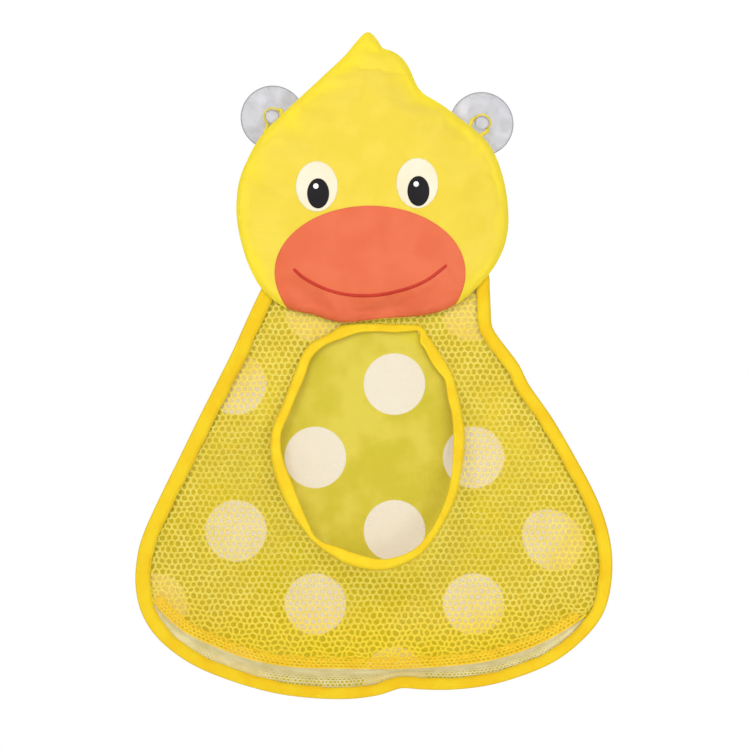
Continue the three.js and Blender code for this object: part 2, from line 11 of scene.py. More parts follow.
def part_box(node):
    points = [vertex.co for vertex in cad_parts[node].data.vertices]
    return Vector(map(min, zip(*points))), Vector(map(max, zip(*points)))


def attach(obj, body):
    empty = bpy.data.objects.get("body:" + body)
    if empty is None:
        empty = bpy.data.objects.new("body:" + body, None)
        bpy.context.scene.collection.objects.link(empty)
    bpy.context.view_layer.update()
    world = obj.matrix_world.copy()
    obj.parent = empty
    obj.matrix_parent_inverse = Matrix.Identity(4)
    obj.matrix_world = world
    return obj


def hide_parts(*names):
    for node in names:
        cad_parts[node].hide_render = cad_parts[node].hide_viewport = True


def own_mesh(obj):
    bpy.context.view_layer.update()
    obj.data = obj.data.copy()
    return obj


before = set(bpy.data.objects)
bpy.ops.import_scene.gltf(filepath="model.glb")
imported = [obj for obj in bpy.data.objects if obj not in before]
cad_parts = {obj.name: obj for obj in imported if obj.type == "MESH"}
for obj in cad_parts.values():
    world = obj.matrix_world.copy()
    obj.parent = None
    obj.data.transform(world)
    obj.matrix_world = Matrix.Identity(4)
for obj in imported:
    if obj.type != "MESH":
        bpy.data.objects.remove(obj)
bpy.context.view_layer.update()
scene = bpy.context.scene

# Lines and outlines, as X and Z seen from the front


def area(loop):
    x, z = loop.T
    return 0.5 * float(np.sum(x * np.roll(z, -1) - np.roll(x, -1) * z))


def frameLoop(node):
    mesh = bmesh.new()
    mesh.from_mesh(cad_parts[node].data)
    bmesh.ops.remove_doubles(mesh, verts=mesh.verts, dist=1e-6)
    mesh.normal_update()
    facing = {face for face in mesh.faces if face.normal.y < -0.7}  # the front side
    beside = {}
    for edge in mesh.edges:
        if sum(face in facing for face in edge.link_faces) == 1:
            one, other = edge.verts
            beside.setdefault(one, []).append(other)
            beside.setdefault(other, []).append(one)
    walk = [next(iter(beside))]
    walk.append(beside[walk[0]][0])
    while walk[-1] is not walk[0]:
        walk.append(next(vert for vert in beside[walk[-1]] if vert is not walk[-2]))
    loop = np.array([[vert.co.x, vert.co.z] for vert in walk[:-1]])
    mesh.free()
    return loop if area(loop) > 0 else loop[::-1]  # anticlockwise


def lengths(line):
    return np.concatenate([[0], np.cumsum(np.linalg.norm(np.diff(line, axis=0), axis=1))])


def ringOf(loop):
    return np.vstack([loop, loop[:1]])


def sampled(line, along, places):
    return np.column_stack([np.interp(places, along, line[:, axis]) for axis in range(line.shape[1])])


def evenly(line, spacing, closed=True):
    ring = ringOf(line) if closed else line
    along = lengths(ring)
    count = max(3, round(along[-1] / spacing))
    places = np.linspace(0, along[-1], count + (not closed), endpoint=not closed)
    return sampled(ring, along, places)


def smoothLine(points, spacing, closed=True):
    points = np.asarray(points, float)
    if closed:
        chain = np.vstack([points[-1:], points, points[:2]])
    else:
        chain = np.vstack([2 * points[:1] - points[1:2], points, 2 * points[-1:] - points[-2:-1]])
    steps = np.linalg.norm(np.diff(chain, axis=0), axis=1)[:, None]
    slopes = np.diff(chain, axis=0) / steps
    tangents = (slopes[:-1] * steps[1:] + slopes[1:] * steps[:-1]) / (steps[1:] + steps[:-1])
    start, end, span = chain[1:-2], chain[2:-1], steps[1:-1]
    fine = 16  # points on each span before they are spaced evenly
    share = np.linspace(0, 1, fine, endpoint=False)[:, None, None]
    curve = (
        (2 * share**3 - 3 * share**2 + 1) * start
        + (share**3 - 2 * share**2 + share) * span * tangents[:-1]
        + (3 * share**2 - 2 * share**3) * end
        + (share**3 - share**2) * span * tangents[1:]
    )
    line = curve.transpose(1, 0, 2).reshape(-1, points.shape[1])
    return evenly(line if closed else np.vstack([line, points[-1:]]), spacing, closed)


def unit(vectors):
    return vectors / np.linalg.norm(vectors, axis=1)[:, None]


def quarterTurn(flat):
    return np.column_stack([-flat[:, 1], flat[:, 0]])


def inward(loop):
    return quarterTurn(unit(np.roll(loop, -1, 0) - np.roll(loop, 1, 0)))


def leftOf(line):
    return quarterTurn(unit(np.gradient(line, axis=0)))


def inset(loop, distance):
    return loop + inward(loop) * distance


def raised(flat, y):
    return np.column_stack([flat[:, 0], np.broadcast_to(y, len(flat)), flat[:, 1]])


def spliced(loop, line):
    # a closed loop with one stretch of it replaced by a line
    if area(loop) * np.cross(line[1] - line[0], loop.mean(axis=0) - line[0]) < 0:
        line = line[::-1]
    loop = np.roll(loop, -nearest(line[:1], loop)[0][0], axis=0)
    return np.vstack([line, loop[nearest(line[-1:], loop)[0][0] + 1:]])


def isInside(points, loop):
    x, z = points[:, :1], points[:, 1:]
    (x0, z0), (x1, z1) = loop.T, np.roll(loop, -1, 0).T
    rise = np.where(z1 == z0, 1.0, z1 - z0)
    crossed = ((z0 > z) != (z1 > z)) & (x < x0 + (x1 - x0) * (z - z0) / rise)
    return crossed.sum(axis=1) % 2 == 1


def nearest(points, line):
    gaps = np.linalg.norm(points[:, None, :] - line[None, :, :], axis=2)
    return gaps.argmin(axis=1), gaps.min(axis=1)


def ellipse(centre, halves, count):
    turn = np.linspace(0, 2 * math.pi, count, endpoint=False)
    return np.array(centre) + np.column_stack([np.cos(turn), np.sin(turn)]) * np.array(halves)


def ripple(along, size, waves):
    # waves along a closed line, fitted to its whole length
    turn, total = 2 * math.pi * along[:-1], along[-1]
    fitted = [(share, total / round(total / length), start) for share, length, start in waves]
    return sum(size * share * np.sin(turn / length + start) for share, length, start in fitted)


# Meshes


def addMesh(name, points, faces, material):
    data = bpy.data.meshes.new(name)
    corners = [tuple(map(float, point)) for point in points]
    data.from_pydata(corners, [], [tuple(map(int, face)) for face in faces])
    data.shade_smooth()
    data.materials.append(material)
    piece = bpy.data.objects.new(name, data)
    scene.collection.objects.link(piece)
    return piece


def place(piece, body, slot, *nodes):
    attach(piece, body)
    if nodes:
        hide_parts(*nodes)


def triangles(loop, inner):
    # fills a loop with triangles over its own points and the inner ones, which source tells apart
    count = len(loop)
    rim = [(step, (step + 1) % count) for step in range(count)]
    found = delaunay_2d_cdt([Vector(point) for point in np.vstack([loop, inner])], rim, [], 1, 1e-7)
    source = np.array([min(sources) for sources in found[3]])
    return [tuple(face) for face in found[2]], source


def fillLoop(loop, spacing):
    low, high = loop.min(axis=0), loop.max(axis=0)
    rows = np.arange(low[1], high[1], spacing * math.sqrt(0.75))
    inner = np.array([
        [x + row % 2 * spacing / 2, z]
        for row, z in enumerate(rows)
        for x in np.arange(low[0], high[0], spacing)
    ])
    inner = inner[isInside(inner, loop)]
    rimRoom = 0.7 * spacing  # keeps the triangles along the rim from getting thin
    inner = inner[nearest(inner, loop)[1] > rimRoom]
    faces, source = triangles(loop, inner)
    return np.vstack([loop, inner])[source], faces, source < len(loop)


def gridFaces(rows, columns, rowsClosed, columnsClosed):
    row, column = np.mgrid[:rows - (not rowsClosed), :columns - (not columnsClosed)].reshape(2, -1)
    here, below, after = row * columns, (row + 1) % rows * columns, (column + 1) % columns
    return np.column_stack([here + column, here + after, below + after, below + column]).tolist()


def crossways(line):
    # two directions across a line, carried along it without turning
    along = unit(np.gradient(line, axis=0))
    across = np.cross(along[0], [0.31, 0.9, 0.29])  # a direction that no line here starts in
    carried = []
    for direction in along:
        across = across - direction * across.dot(direction)
        across = across / np.linalg.norm(across)
        carried.append(across)
    side = np.array(carried)
    return side, np.cross(along, side)


def tube(line, radius, sides):
    side, up = crossways(line)
    circle = ellipse((0, 0), (1, 1), sides)
    radii = np.broadcast_to(radius, len(line))[:, None, None]
    spokes = circle[:, :1] * side[:, None] + circle[:, 1:] * up[:, None]
    rings = line[:, None] + radii * spokes
    last = (len(line) - 1) * sides
    faces = gridFaces(len(line), sides, False, True)
    faces += [tuple(range(sides))[::-1], tuple(range(last, last + sides))]
    return rings.reshape(-1, 3), faces


def joined(parts):
    points, faces, start = [], [], 0
    for somePoints, someFaces in parts:
        points.append(somePoints)
        faces += [tuple(corner + start for corner in face) for face in someFaces]
        start += len(somePoints)
    return np.vstack(points), faces


def facingOut(piece):
    mesh = bmesh.new()
    mesh.from_mesh(piece.data)
    bmesh.ops.recalc_face_normals(mesh, faces=mesh.faces)
    mesh.to_mesh(piece.data)
    mesh.free()
    return piece


def evaluated(piece):
    return piece.evaluated_get(bpy.context.evaluated_depsgraph_get()).data


def thicken(piece, thickness, offset):
    solidify = piece.modifiers.new("thickness", "SOLIDIFY")
    solidify.thickness = thickness
    solidify.offset = offset


# Shaders, with colours written as red, green and blue up to 255


def linear(red, green, blue):
    shares = [value / 255 for value in (red, green, blue)]
    curve = [share / 12.92 if share <= 0.04045 else ((share + 0.055) / 1.055) ** 2.4 for share in shares]
    return [*curve, 1.0]


class Socket:
    def __init__(self, tree, socket=None):
        self.tree = tree
        self.socket = socket

    def node(self, kind, settings=None, sockets=None, output=0):
        made = self.tree.nodes.new(kind)
        for name, value in (settings or {}).items():
            setattr(made, name, value)
        for name, value in (sockets or {}).items():
            if isinstance(value, Socket):
                self.tree.links.new(value.socket, made.inputs[name])
            else:
                made.inputs[name].default_value = value
        return Socket(self.tree, made.outputs[output])

    def math(self, operation, first, second=0.0):
        return self.node("ShaderNodeMath", {"operation": operation}, {0: first, 1: second})

    def __add__(self, other):
        return self.math("ADD", self, other)

    def __radd__(self, other):
        return self.math("ADD", other, self)

    def __sub__(self, other):
        return self.math("SUBTRACT", self, other)

    def __rsub__(self, other):
        return self.math("SUBTRACT", other, self)

    def __mul__(self, other):
        return self.math("MULTIPLY", self, other)

    def __rmul__(self, other):
        return self.math("MULTIPLY", other, self)

    def __truediv__(self, other):
        return self.math("DIVIDE", self, other)

    def __rtruediv__(self, other):
        return self.math("DIVIDE", other, self)

    def __pow__(self, other):
        return self.math("POWER", self, other)

    def sine(self):
        return self.math("SINE", self)

    def fraction(self):
        return self.math("FRACT", self)

    def least(self, other):
        return self.math("MINIMUM", self, other)

    def between(self, low, high):
        limits = {"Value": self, "From Min": low, "From Max": high}
        return self.node("ShaderNodeMapRange", {"interpolation_type": "SMOOTHSTEP"}, limits)

    def mix(self, first, second):
        ends = [linear(*end) if isinstance(end, tuple) else end for end in (first, second)]
        return self.node("ShaderNodeMix", {"data_type": "RGBA"}, {0: self, 6: ends[0], 7: ends[1]}, 2)

    def axes(self, output="Object"):
        where = self.node("ShaderNodeTexCoord", output=output)
        return [self.node("ShaderNodeSeparateXYZ", {}, {0: where}, axis) for axis in range(3)]

    def noise(self, scale, detail=2.0):
        where = self.node("ShaderNodeTexCoord", output="Object")
        return self.node("ShaderNodeTexNoise", {}, {"Vector": where, "Scale": scale, "Detail": detail})

    def cloud(self, scale, low, high):
        return self.noise(scale).between(low, high)

    def fuzz(self, scale, height):
        return self.noise(scale) * height

    def farFrom(self, oval):
        # 1 on the oval, which is given by its middle and half sizes
        middleX, middleZ, halfWidth, halfHeight = oval
        x, _, z = self.axes()
        return ((x - middleX) / halfWidth) ** 2.0 + ((z - middleZ) / halfHeight) ** 2.0

    def weave(self, pitch):
        x, y, z = (axis * (2 * math.pi / pitch) for axis in self.axes())
        return (x + y).sine() * (z + y).sine()

    def bump(self, distance, strength=1.0):
        return self.node("ShaderNodeBump", {}, {"Height": self, "Distance": distance, "Strength": strength})


def paint(name, colour, roughness, look=None, gloss=0.5, **constants):
    # colour and roughness hold where the look gives none
    material = bpy.data.materials.new(name)
    material.use_nodes = True
    tree = material.node_tree
    shader = tree.nodes["Principled BSDF"]
    shader.inputs["Base Color"].default_value = linear(*colour)
    shader.inputs["Roughness"].default_value = roughness
    shader.inputs["Specular IOR Level"].default_value = gloss
    for socket, value in constants.items():
        shader.inputs[socket.replace("_", " ")].default_value = value
    for socket, value in (look(Socket(tree)) if look else {}).items():
        tree.links.new(value.socket, shader.inputs[socket])
    return material


cloth = {
    "cloud": (55.0, 0.35, 0.65),  # scale of the uneven dye, and the noise at its darkest and lightest
    "fuzz": (1400.0, 0.8),  # scale, and height beside the weave's
    "headWeave": (0.0006, 0.0001),  # pitch and depth
    "tapeWeave": (0.0008, 0.00014),
}


def clothLook(light, dark, pitch, depth):
    def look(base):
        shade = base.cloud(*cloth["cloud"])
        height = base.weave(pitch) + base.fuzz(*cloth["fuzz"])
        return {"Base Color": shade.mix(dark, light), "Normal": height.bump(depth)}

    return look


headCover = {
    "light": (242, 217, 77),
    "dark": (239, 212, 69),
    "edge": (254, 230, 44),
    "edgeLightY": (-0.027, -0.0195),  # painted light: brighter and more saturated towards the sewn edge, paler at the crown, for how the light falls
}


def headLook(base):
    # painted light: a brighter, more saturated colour mixed in towards the sewn edge
    rim = base.axes()[1].between(*headCover["edgeLightY"])
    look = clothLook(headCover["light"], headCover["dark"], *cloth["headWeave"])(base)
    return look | {"Base Color": rim.mix(look["Base Color"], headCover["edge"])}


dots = {
    "x": 0.0147,
    "z": -0.1845,
    "columnPitch": 0.0554,
    "rowPitch": 0.0513,
    "radius": 0.0215,
    "softEdge": 0.0004,
    "drawn": 0.0083,  # the cloth is drawn down at its right side
    "drawnOver": (0.085, 0.14),
    "cloud": (40.0, 0.35, 0.65),
    "ground": (224, 207, 79),
    "groundDark": (210, 194, 58),
    "groundLitHigh": (224, 207, 60),  # painted light: lighter high up behind the net, where the light falls in
    # painted shade: darker lower down behind the net
    "groundLow": (207, 192, 30),
    "shadeLowToHigh": (-0.335, -0.2),
    "print": (239, 229, 207),
    "printInNetLight": (235, 226, 206),  # painted light: the yellow cast of the light through the net, painted on the print behind it
    # painted light: a stronger yellow cast towards the sides, where the net is seen at a slant
    "printInSideNetLight": (239, 217, 126),
    "mouth": (-0.004, -0.228, 0.066, 0.085),  # middle and half sizes
    "mouthEdge": (0.8, 1.1),
    "middle": (0.0, -0.262, 0.15, 0.11),
    "sideEdge": (0.68, 1.02),
    "turned": (-0.2, 0.2),  # from front to back
    "fade": 0.75,  # the print shows through faintly behind
    "weave": 0.0007,
    "fuzz": (1200.0, 0.7),
    "bump": 0.00012,
}


def dottedLook(base):
    x, _, z = base.axes()
    pairAcross, pairDown = 2 * dots["columnPitch"], 2 * dots["rowPitch"]
    u = (x - dots["x"]) / pairAcross
    drawn = x.between(*dots["drawnOver"]) * dots["drawn"]
    w = (z + drawn - dots["z"]) / pairDown

    def far(shift):
        across = ((u + shift).fraction() - 0.5) * pairAcross
        down = ((w + shift).fraction() - 0.5) * pairDown
        return (across * across + down * down) ** 0.5

    away = far(0.5).least(far(1.0))
    bare = away.between(dots["radius"] - dots["softEdge"], dots["radius"] + dots["softEdge"])
    behindNet = base.farFrom(dots["mouth"]).between(*dots["mouthEdge"])
    # painted light and shade: the cloth behind the net is painted lighter high up and darker lower down
    shaded = z.between(*dots["shadeLowToHigh"]).mix(dots["groundLow"], dots["groundLitHigh"])
    ground = behindNet.mix(dots["ground"], shaded)
    ground = base.cloud(*dots["cloud"]).mix(dots["groundDark"], ground)
    atEdge = base.farFrom(dots["middle"]).between(*dots["sideEdge"])
    # painted light: the print behind the net takes the yellow cast of the light through it, stronger
    # towards the sides
    veiled = atEdge.mix(dots["printInNetLight"], dots["printInSideNetLight"])
    printed = behindNet.mix(dots["print"], veiled)
    behind = base.axes("Normal")[1].between(*dots["turned"])
    colour = (bare + behind * dots["fade"] * (1.0 - bare)).mix(printed, ground)
    height = base.weave(dots["weave"]) + base.fuzz(*dots["fuzz"])
    return {"Base Color": colour, "Normal": height.bump(dots["bump"])}


thread = {
    "cloud": (90.0, 0.3, 0.7),
    "fibres": 9000.0,
    "fibreHeight": 0.5,  # beside the fuzz
    "fuzzScale": 900.0,
    "bump": 0.0001,
}


def strandLook(light, dark):
    def look(base):
        x, _, z = base.axes()
        fibres = ((x + z) * thread["fibres"]).sine() * thread["fibreHeight"]
        height = fibres + base.noise(thread["fuzzScale"])
        return {
            "Base Color": base.cloud(*thread["cloud"]).mix(dark, light),
            "Normal": height.bump(thread["bump"]),
        }

    return look


netting = {
    "light": (244, 221, 102),
    "dark": (237, 210, 78),
    "hem": (254, 215, 40),
    "hemHeights": (-0.38, -0.32),  # the net is doubled and lies closer together towards its hem
    "steep": (0.35, 0.9),
    "alpha": 0.4,
    "steepAlpha": 0.26,  # added towards the sides, where the net is seen at a slant
}


def netLook(base):
    low = 1.0 - base.axes()[2].between(*netting["hemHeights"])
    steep = base.farFrom(dots["middle"]).between(*netting["steep"])
    look = strandLook(netting["light"], netting["dark"])(base)
    return look | {
        "Base Color": low.mix(look["Base Color"], netting["hem"]),
        "Alpha": netting["alpha"] + steep * netting["steepAlpha"],
    }


film = {
    "cloud": (45.0, 0.3, 0.7),
    "grain": (700.0, 3.0),  # scale and detail
    "roughness": 0.34,
    "grainRoughness": 0.2,
    "weave": 0.0009,
    "weaveHeight": 0.35,  # beside the grain
    "bump": 0.00005,
}


def filmLook(light, dark):
    def look(base):
        grain = base.noise(*film["grain"])
        height = base.weave(film["weave"]) * film["weaveHeight"] + grain
        return {
            "Base Color": base.cloud(*film["cloud"]).mix(dark, light),
            "Roughness": film["roughness"] + grain * film["grainRoughness"],
            "Normal": height.bump(film["bump"]),
        }

    return look


def middleOf(node):
    low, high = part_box(node)
    return np.array([low.x + high.x, low.z + high.z]) / 2


cupMiddles = {side: middleOf(f"suction_cup_{side}") for side in ("left", "right")}
vinyl = {
    "light": (222, 221, 225),
    "dark": (205, 204, 207),
    "rim": (166, 166, 171),
    "shadedRimRadii": (0.0213, 0.0221),  # painted shade: greyer in a ring where the dish is seen edge on
    "cloud": (130.0, 0.3, 0.7),
    "roughness": 0.12,
    "smear": (120.0, 0.14),  # scale, and roughness added
    "waveScale": 160.0,
    "bump": 0.0002,
}


def vinylLook(base):
    x, _, z = base.axes()

    def far(middle):
        return ((x - middle[0]) ** 2.0 + (z - middle[1]) ** 2.0) ** 0.5

    away = far(cupMiddles["left"]).least(far(cupMiddles["right"]))
    clear = base.cloud(*vinyl["cloud"]).mix(vinyl["dark"], vinyl["light"])
    return {
        # painted shade: a grey ring at the rim of each dish
        "Base Color": away.between(*vinyl["shadedRimRadii"]).mix(clear, vinyl["rim"]),
        "Roughness": vinyl["roughness"] + base.fuzz(*vinyl["smear"]),
        "Normal": base.noise(vinyl["waveScale"]).bump(vinyl["bump"]),
    }


headCloth = paint("headCloth", (244, 219, 68), 0.9, headLook, 0.2, Sheen_Weight=0.06, Sheen_Roughness=0.5)
# painted shade: the edge binding is the same tape as the mouth binding, painted a little darker
shadedEdgeTapeLook = clothLook((246, 211, 39), (244, 200, 31), *cloth["tapeWeave"])
shadedEdgeTape = paint("shadedEdgeTape", (245, 205, 35), 0.85, shadedEdgeTapeLook, 0.15)
mouthTapeLook = clothLook((250, 218, 44), (248, 208, 38), *cloth["tapeWeave"])
mouthTape = paint("mouthTape", (251, 214, 38), 0.85, mouthTapeLook, 0.15)
dottedCloth = paint("dottedCloth", (214, 199, 70), 0.9, dottedLook, 0.2)
netStrand = paint(
    "netStrand", (252, 224, 74), 0.6, netLook, 0.3,
    Subsurface_Weight=0.6, Subsurface_Scale=0.004, Subsurface_Radius=(1.0, 0.8, 0.3),
)
hemStrandLook = strandLook((252, 219, 56), (248, 207, 42))
hemStrand = paint("hemStrand", (250, 214, 50), 0.65, hemStrandLook, 0.3, Alpha=0.58)
drainStrand = paint("drainStrand", (232, 220, 164), 0.7, strandLook((240, 229, 178), (224, 211, 150)))
billFilm = paint("billFilm", (222, 103, 66), 0.55, filmLook((216, 105, 68), (211, 98, 61)), 0.2)
smileFilm = paint("smileFilm", (186, 48, 30), 0.55, filmLook((189, 51, 33), (181, 45, 28)), 0.2)
whiteFilm = paint("whiteFilm", (236, 228, 203), 0.5, filmLook((230, 222, 199), (225, 215, 186)), 0.2)
glintFilm = paint("glintFilm", (250, 250, 248), 0.4, filmLook((252, 252, 250), (246, 246, 244)))
pupilFilm = paint("pupilFilm", (20, 18, 21), 0.6, filmLook((23, 21, 24), (17, 15, 18)), 0.12)
loopCord = paint("loopCord", (238, 218, 72), 0.75, strandLook((240, 224, 84), (230, 206, 58)))
clearVinyl = paint("clearVinyl", (214, 212, 218), 0.2, vinylLook, Transmission_Weight=0.75, IOR=1.32)
print("materials")

# Head: a padded cushion sewn at its edge, with the face pressed on it

head = {
    "rimSpacing": 0.0024,
    "spacing": 0.003,
    "seamY": -0.01875,
    "roundOff": 0.03,
    "pressure": 4.0,
    "growth": 0.02,
    "most": 0.004,  # how far the filling may push a point
    "quality": 6,
    "frames": 20,
    "fill": 0.35,
}
headLoop = smoothLine(frameLoop("head_back_cover"), head["rimSpacing"])
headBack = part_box("head_back_cover")[1].y
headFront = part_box("head_front_cover")[0].y


def inflate(piece, held, shape):
    rest = np.array([vert.co for vert in piece.data.vertices])
    piece.vertex_groups.new(name="held").add([int(index) for index in held], 1.0, "REPLACE")
    modifier = piece.modifiers.new("cloth", "CLOTH")
    settings = modifier.settings
    settings.quality = shape["quality"]
    settings.vertex_group_mass = "held"
    settings.use_pressure = True
    settings.uniform_pressure_force = shape["pressure"]
    settings.shrink_min = -shape["growth"]
    settings.effector_weights.gravity = 0.0
    modifier.point_cache.frame_start = 1
    modifier.point_cache.frame_end = shape["frames"]
    for step in range(1, shape["frames"] + 1):
        scene.frame_set(step)
    moved = np.array([vert.co for vert in evaluated(piece).vertices]) - rest
    piece.modifiers.remove(modifier)
    scene.frame_set(1)
    far = np.linalg.norm(moved, axis=1)[:, None]
    moved *= np.minimum(1.0, shape["most"] / np.maximum(far, 1e-9))
    piece.data.vertices.foreach_set("co", (rest + moved).ravel())
    piece.data.update()


def makeHead():
    flat, faces, isRim = fillLoop(headLoop, head["spacing"])
    share = np.clip(nearest(flat, headLoop)[1] / head["roundOff"], 0, 1)
    dome = np.sqrt(1 - (1 - share) ** 2)
    front = head["seamY"] + (headFront - head["seamY"]) * dome
    back = head["seamY"] + (headBack - head["seamY"]) * dome
    free = np.flatnonzero(~isRim)
    behind = np.arange(len(flat))
    behind[free] = len(flat) + np.arange(len(free))
    points = np.vstack([raised(flat, front), raised(flat[free], back[free])])
    faces = faces + [tuple(behind[corner] for corner in face[::-1]) for face in faces]
    piece = addMesh("headCushion", points, faces, headCloth)
    inflate(piece, np.flatnonzero(isRim), head)
    for vert in piece.data.vertices:
        vert.co.y = min(vert.co.y, headBack)
    sewn = set(np.flatnonzero(isRim).tolist())
    creases = piece.data.edge_creases_ensure()
    for edge, crease in zip(piece.data.edges, creases.data):
        edge.use_edge_sharp = sewn.issuperset(edge.vertices)
        crease.value = float(edge.use_edge_sharp)
    subdivision = piece.modifiers.new("smooth", "SUBSURF")
    subdivision.levels = subdivision.render_levels = 1
    place(piece, "head", "head_cloth", "head_front_cover", "head_back_cover", "head_padding")
    return piece


headCushion = makeHead()
headTree = BVHTree.FromObject(headCushion, bpy.context.evaluated_depsgraph_get())


def frontSkin(piece):
    shown = evaluated(piece)
    points = np.array([vert.co for vert in shown.vertices])
    facing = np.array([vert.normal for vert in shown.vertices])
    isFront = (points[:, 1] < head["seamY"] - 1e-5) & (facing[:, 1] < 0)
    return points[isFront], facing[isFront]


skinPoints, skinFacing = frontSkin(headCushion)
print("head")

pressed = {
    "thickness": 0.0003,
    "step": 0.00025,  # how far each layer stands above the one under it
    "edgeRoom": 0.0003,
    "rimGap": 0.0004,
    "eyeShift": (-0.0003, -0.0007),
    "eyeSpacing": 0.0016,
}
bill = {
    "centre": (-0.0023, -0.1066),
    "halfWidth": 0.0664,
    "upper": 0.0462,
    "lower": 0.05,
    "points": 160,
    "spacing": 0.002,
}
smile = {
    "line": [
        (-0.0557, -0.1043), (-0.0496, -0.1096), (-0.0412, -0.1146), (-0.0301, -0.1194), (-0.019, -0.122),
        (-0.0051, -0.1229), (0.006, -0.122), (0.0171, -0.1197), (0.0282, -0.1164), (0.0393, -0.1108),
        (0.0462, -0.1056), (0.0511, -0.1015),
    ],
    "thickness": 0.0021,
    "roundEnd": 0.0012,
    "endShare": 0.1,
    "spacing": 0.0008,
}


def onHead(flat):
    points = []
    for x, z in flat:
        hit = headTree.ray_cast(Vector((x, -1, z)), Vector((0, 1, 0)))[0]
        points.append(hit or headTree.find_nearest(Vector((x, head["seamY"], z)))[0])
    return np.array(points)


def pressFilm(name, loop, layer, material, slot, node):
    flatSkin = skinPoints[:, [0, 2]]
    inner = np.flatnonzero(isInside(flatSkin, loop))
    inner = inner[nearest(flatSkin[inner], loop)[1] > pressed["rimGap"]]
    points = np.vstack([onHead(loop), skinPoints[inner]])
    facing = np.vstack([skinFacing[nearest(loop, flatSkin)[0]], skinFacing[inner]])
    faces, source = triangles(loop, flatSkin[inner])
    lifted = points + facing * (pressed["thickness"] + layer * pressed["step"])
    piece = addMesh(name, lifted[source], faces, material)
    if piece.data.polygons[0].normal.y > 0:
        piece.data.flip_normals()
    thicken(piece, pressed["thickness"], -1.0)
    place(piece, "head", slot, node)


def billLoop():
    loop = ellipse(bill["centre"], (bill["halfWidth"], 1.0), bill["points"])
    rise = loop[:, 1] - bill["centre"][1]
    loop[:, 1] = bill["centre"][1] + rise * np.where(rise > 0, bill["upper"], bill["lower"])
    edge = inset(headLoop, pressed["edgeRoom"])
    outside = ~isInside(loop, edge)
    loop[outside] = edge[nearest(loop[outside], edge)[0]]
    return evenly(loop, bill["spacing"])


def smileLoop():
    line = smoothLine(smile["line"], smile["spacing"], closed=False)
    along = lengths(line)
    fromEnd = np.minimum(along, along[-1] - along) / smile["roundEnd"]
    half = smile["thickness"] / 2 * np.sqrt(np.clip(fromEnd, smile["endShare"], 1))
    up = leftOf(line) * half[:, None]
    return np.vstack([line - up, (line + up)[::-1]])


def boxEllipse(node, spacing):
    low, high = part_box(node)
    centre, halves = (low + high) / 2, (high - low) / 2
    count = max(16, round(math.pi * (halves.x + halves.z) / spacing))
    return ellipse((centre.x, centre.z), (halves.x, halves.z), count) + pressed["eyeShift"]


pressFilm("billPatch", billLoop(), 0, billFilm, "bill_film", "bill")
pressFilm("smileLine", smileLoop(), 1, smileFilm, "smile_film", "smile_line")
for side in ("left", "right"):
    eye = [
        ("eyeWhite", "eye_white", whiteFilm, "eye_white_film"),
        ("eyePupil", "pupil", pupilFilm, "pupil_film"),
        ("eyeGlint", "eye_glint", glintFilm, "glint_film"),
    ]
    for layer, (name, node, material, slot) in enumerate(eye):
        loop = boxEllipse(f"{node}_{side}", pressed["eyeSpacing"])
        pressFilm(f"{name}_{side}", loop, layer, material, slot, f"{node}_{side}")
print("face")

# Pouch: dotted back cloth, hexagonal net, drain net and the folded tapes

neck = {
    "line": [
        (0.0599, -0.1012), (0.072, -0.1014), (0.0788, -0.1062), (0.0803, -0.119), (0.0811, -0.1335),
        (0.0822, -0.1452), (0.0858, -0.1512), (0.0922, -0.1597), (0.0977, -0.1668),
    ],
    "spacing": 0.003,
}
neckLine = smoothLine(neck["line"], neck["spacing"], closed=False)
channelLoop = spliced(smoothLine(frameLoop("back_panel"), neck["spacing"]), neckLine)
pouch = {
    "tapeFrontY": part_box("edge_binding")[0].y,
    "tapeBackY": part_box("edge_binding")[1].y,
    "panelFrontY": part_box("back_panel")[0].y,
    "panelBackY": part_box("back_panel")[1].y,
    "netY": -0.0158,
    "channel": 0.0011,
    "tapeWidth": 0.0095,
    "tapeThickness": 0.0008,
}
pouchLoop = inset(channelLoop, -pouch["channel"])
panel = {
    "inset": 0.0006,
    "rimSpacing": 0.004,
    "spacing": 0.005,
    "wave": 0.0003,
    "waves": [(47, 21), (-18, 63)],
    "calmRim": 0.03,
    "flat": (0.333, 0.306),
}


def makePanel():
    rim = evenly(inset(channelLoop, panel["inset"]), panel["rimSpacing"])
    flat, faces, _ = fillLoop(rim, panel["spacing"])
    x, z = flat.T
    depth = np.minimum(1.0, nearest(flat, channelLoop)[1] / panel["calmRim"])
    wave = sum(np.sin(x * across + z * down) for across, down in panel["waves"])
    y = pouch["panelFrontY"] - panel["wave"] * depth * (wave + 2) / 2
    piece = addMesh("backPanel", raised(flat, y), faces, dottedCloth)
    thicken(piece, pouch["panelBackY"] - pouch["panelFrontY"], -1.0)
    place(piece, "pouch", "dotted_cloth", "back_panel")


makePanel()

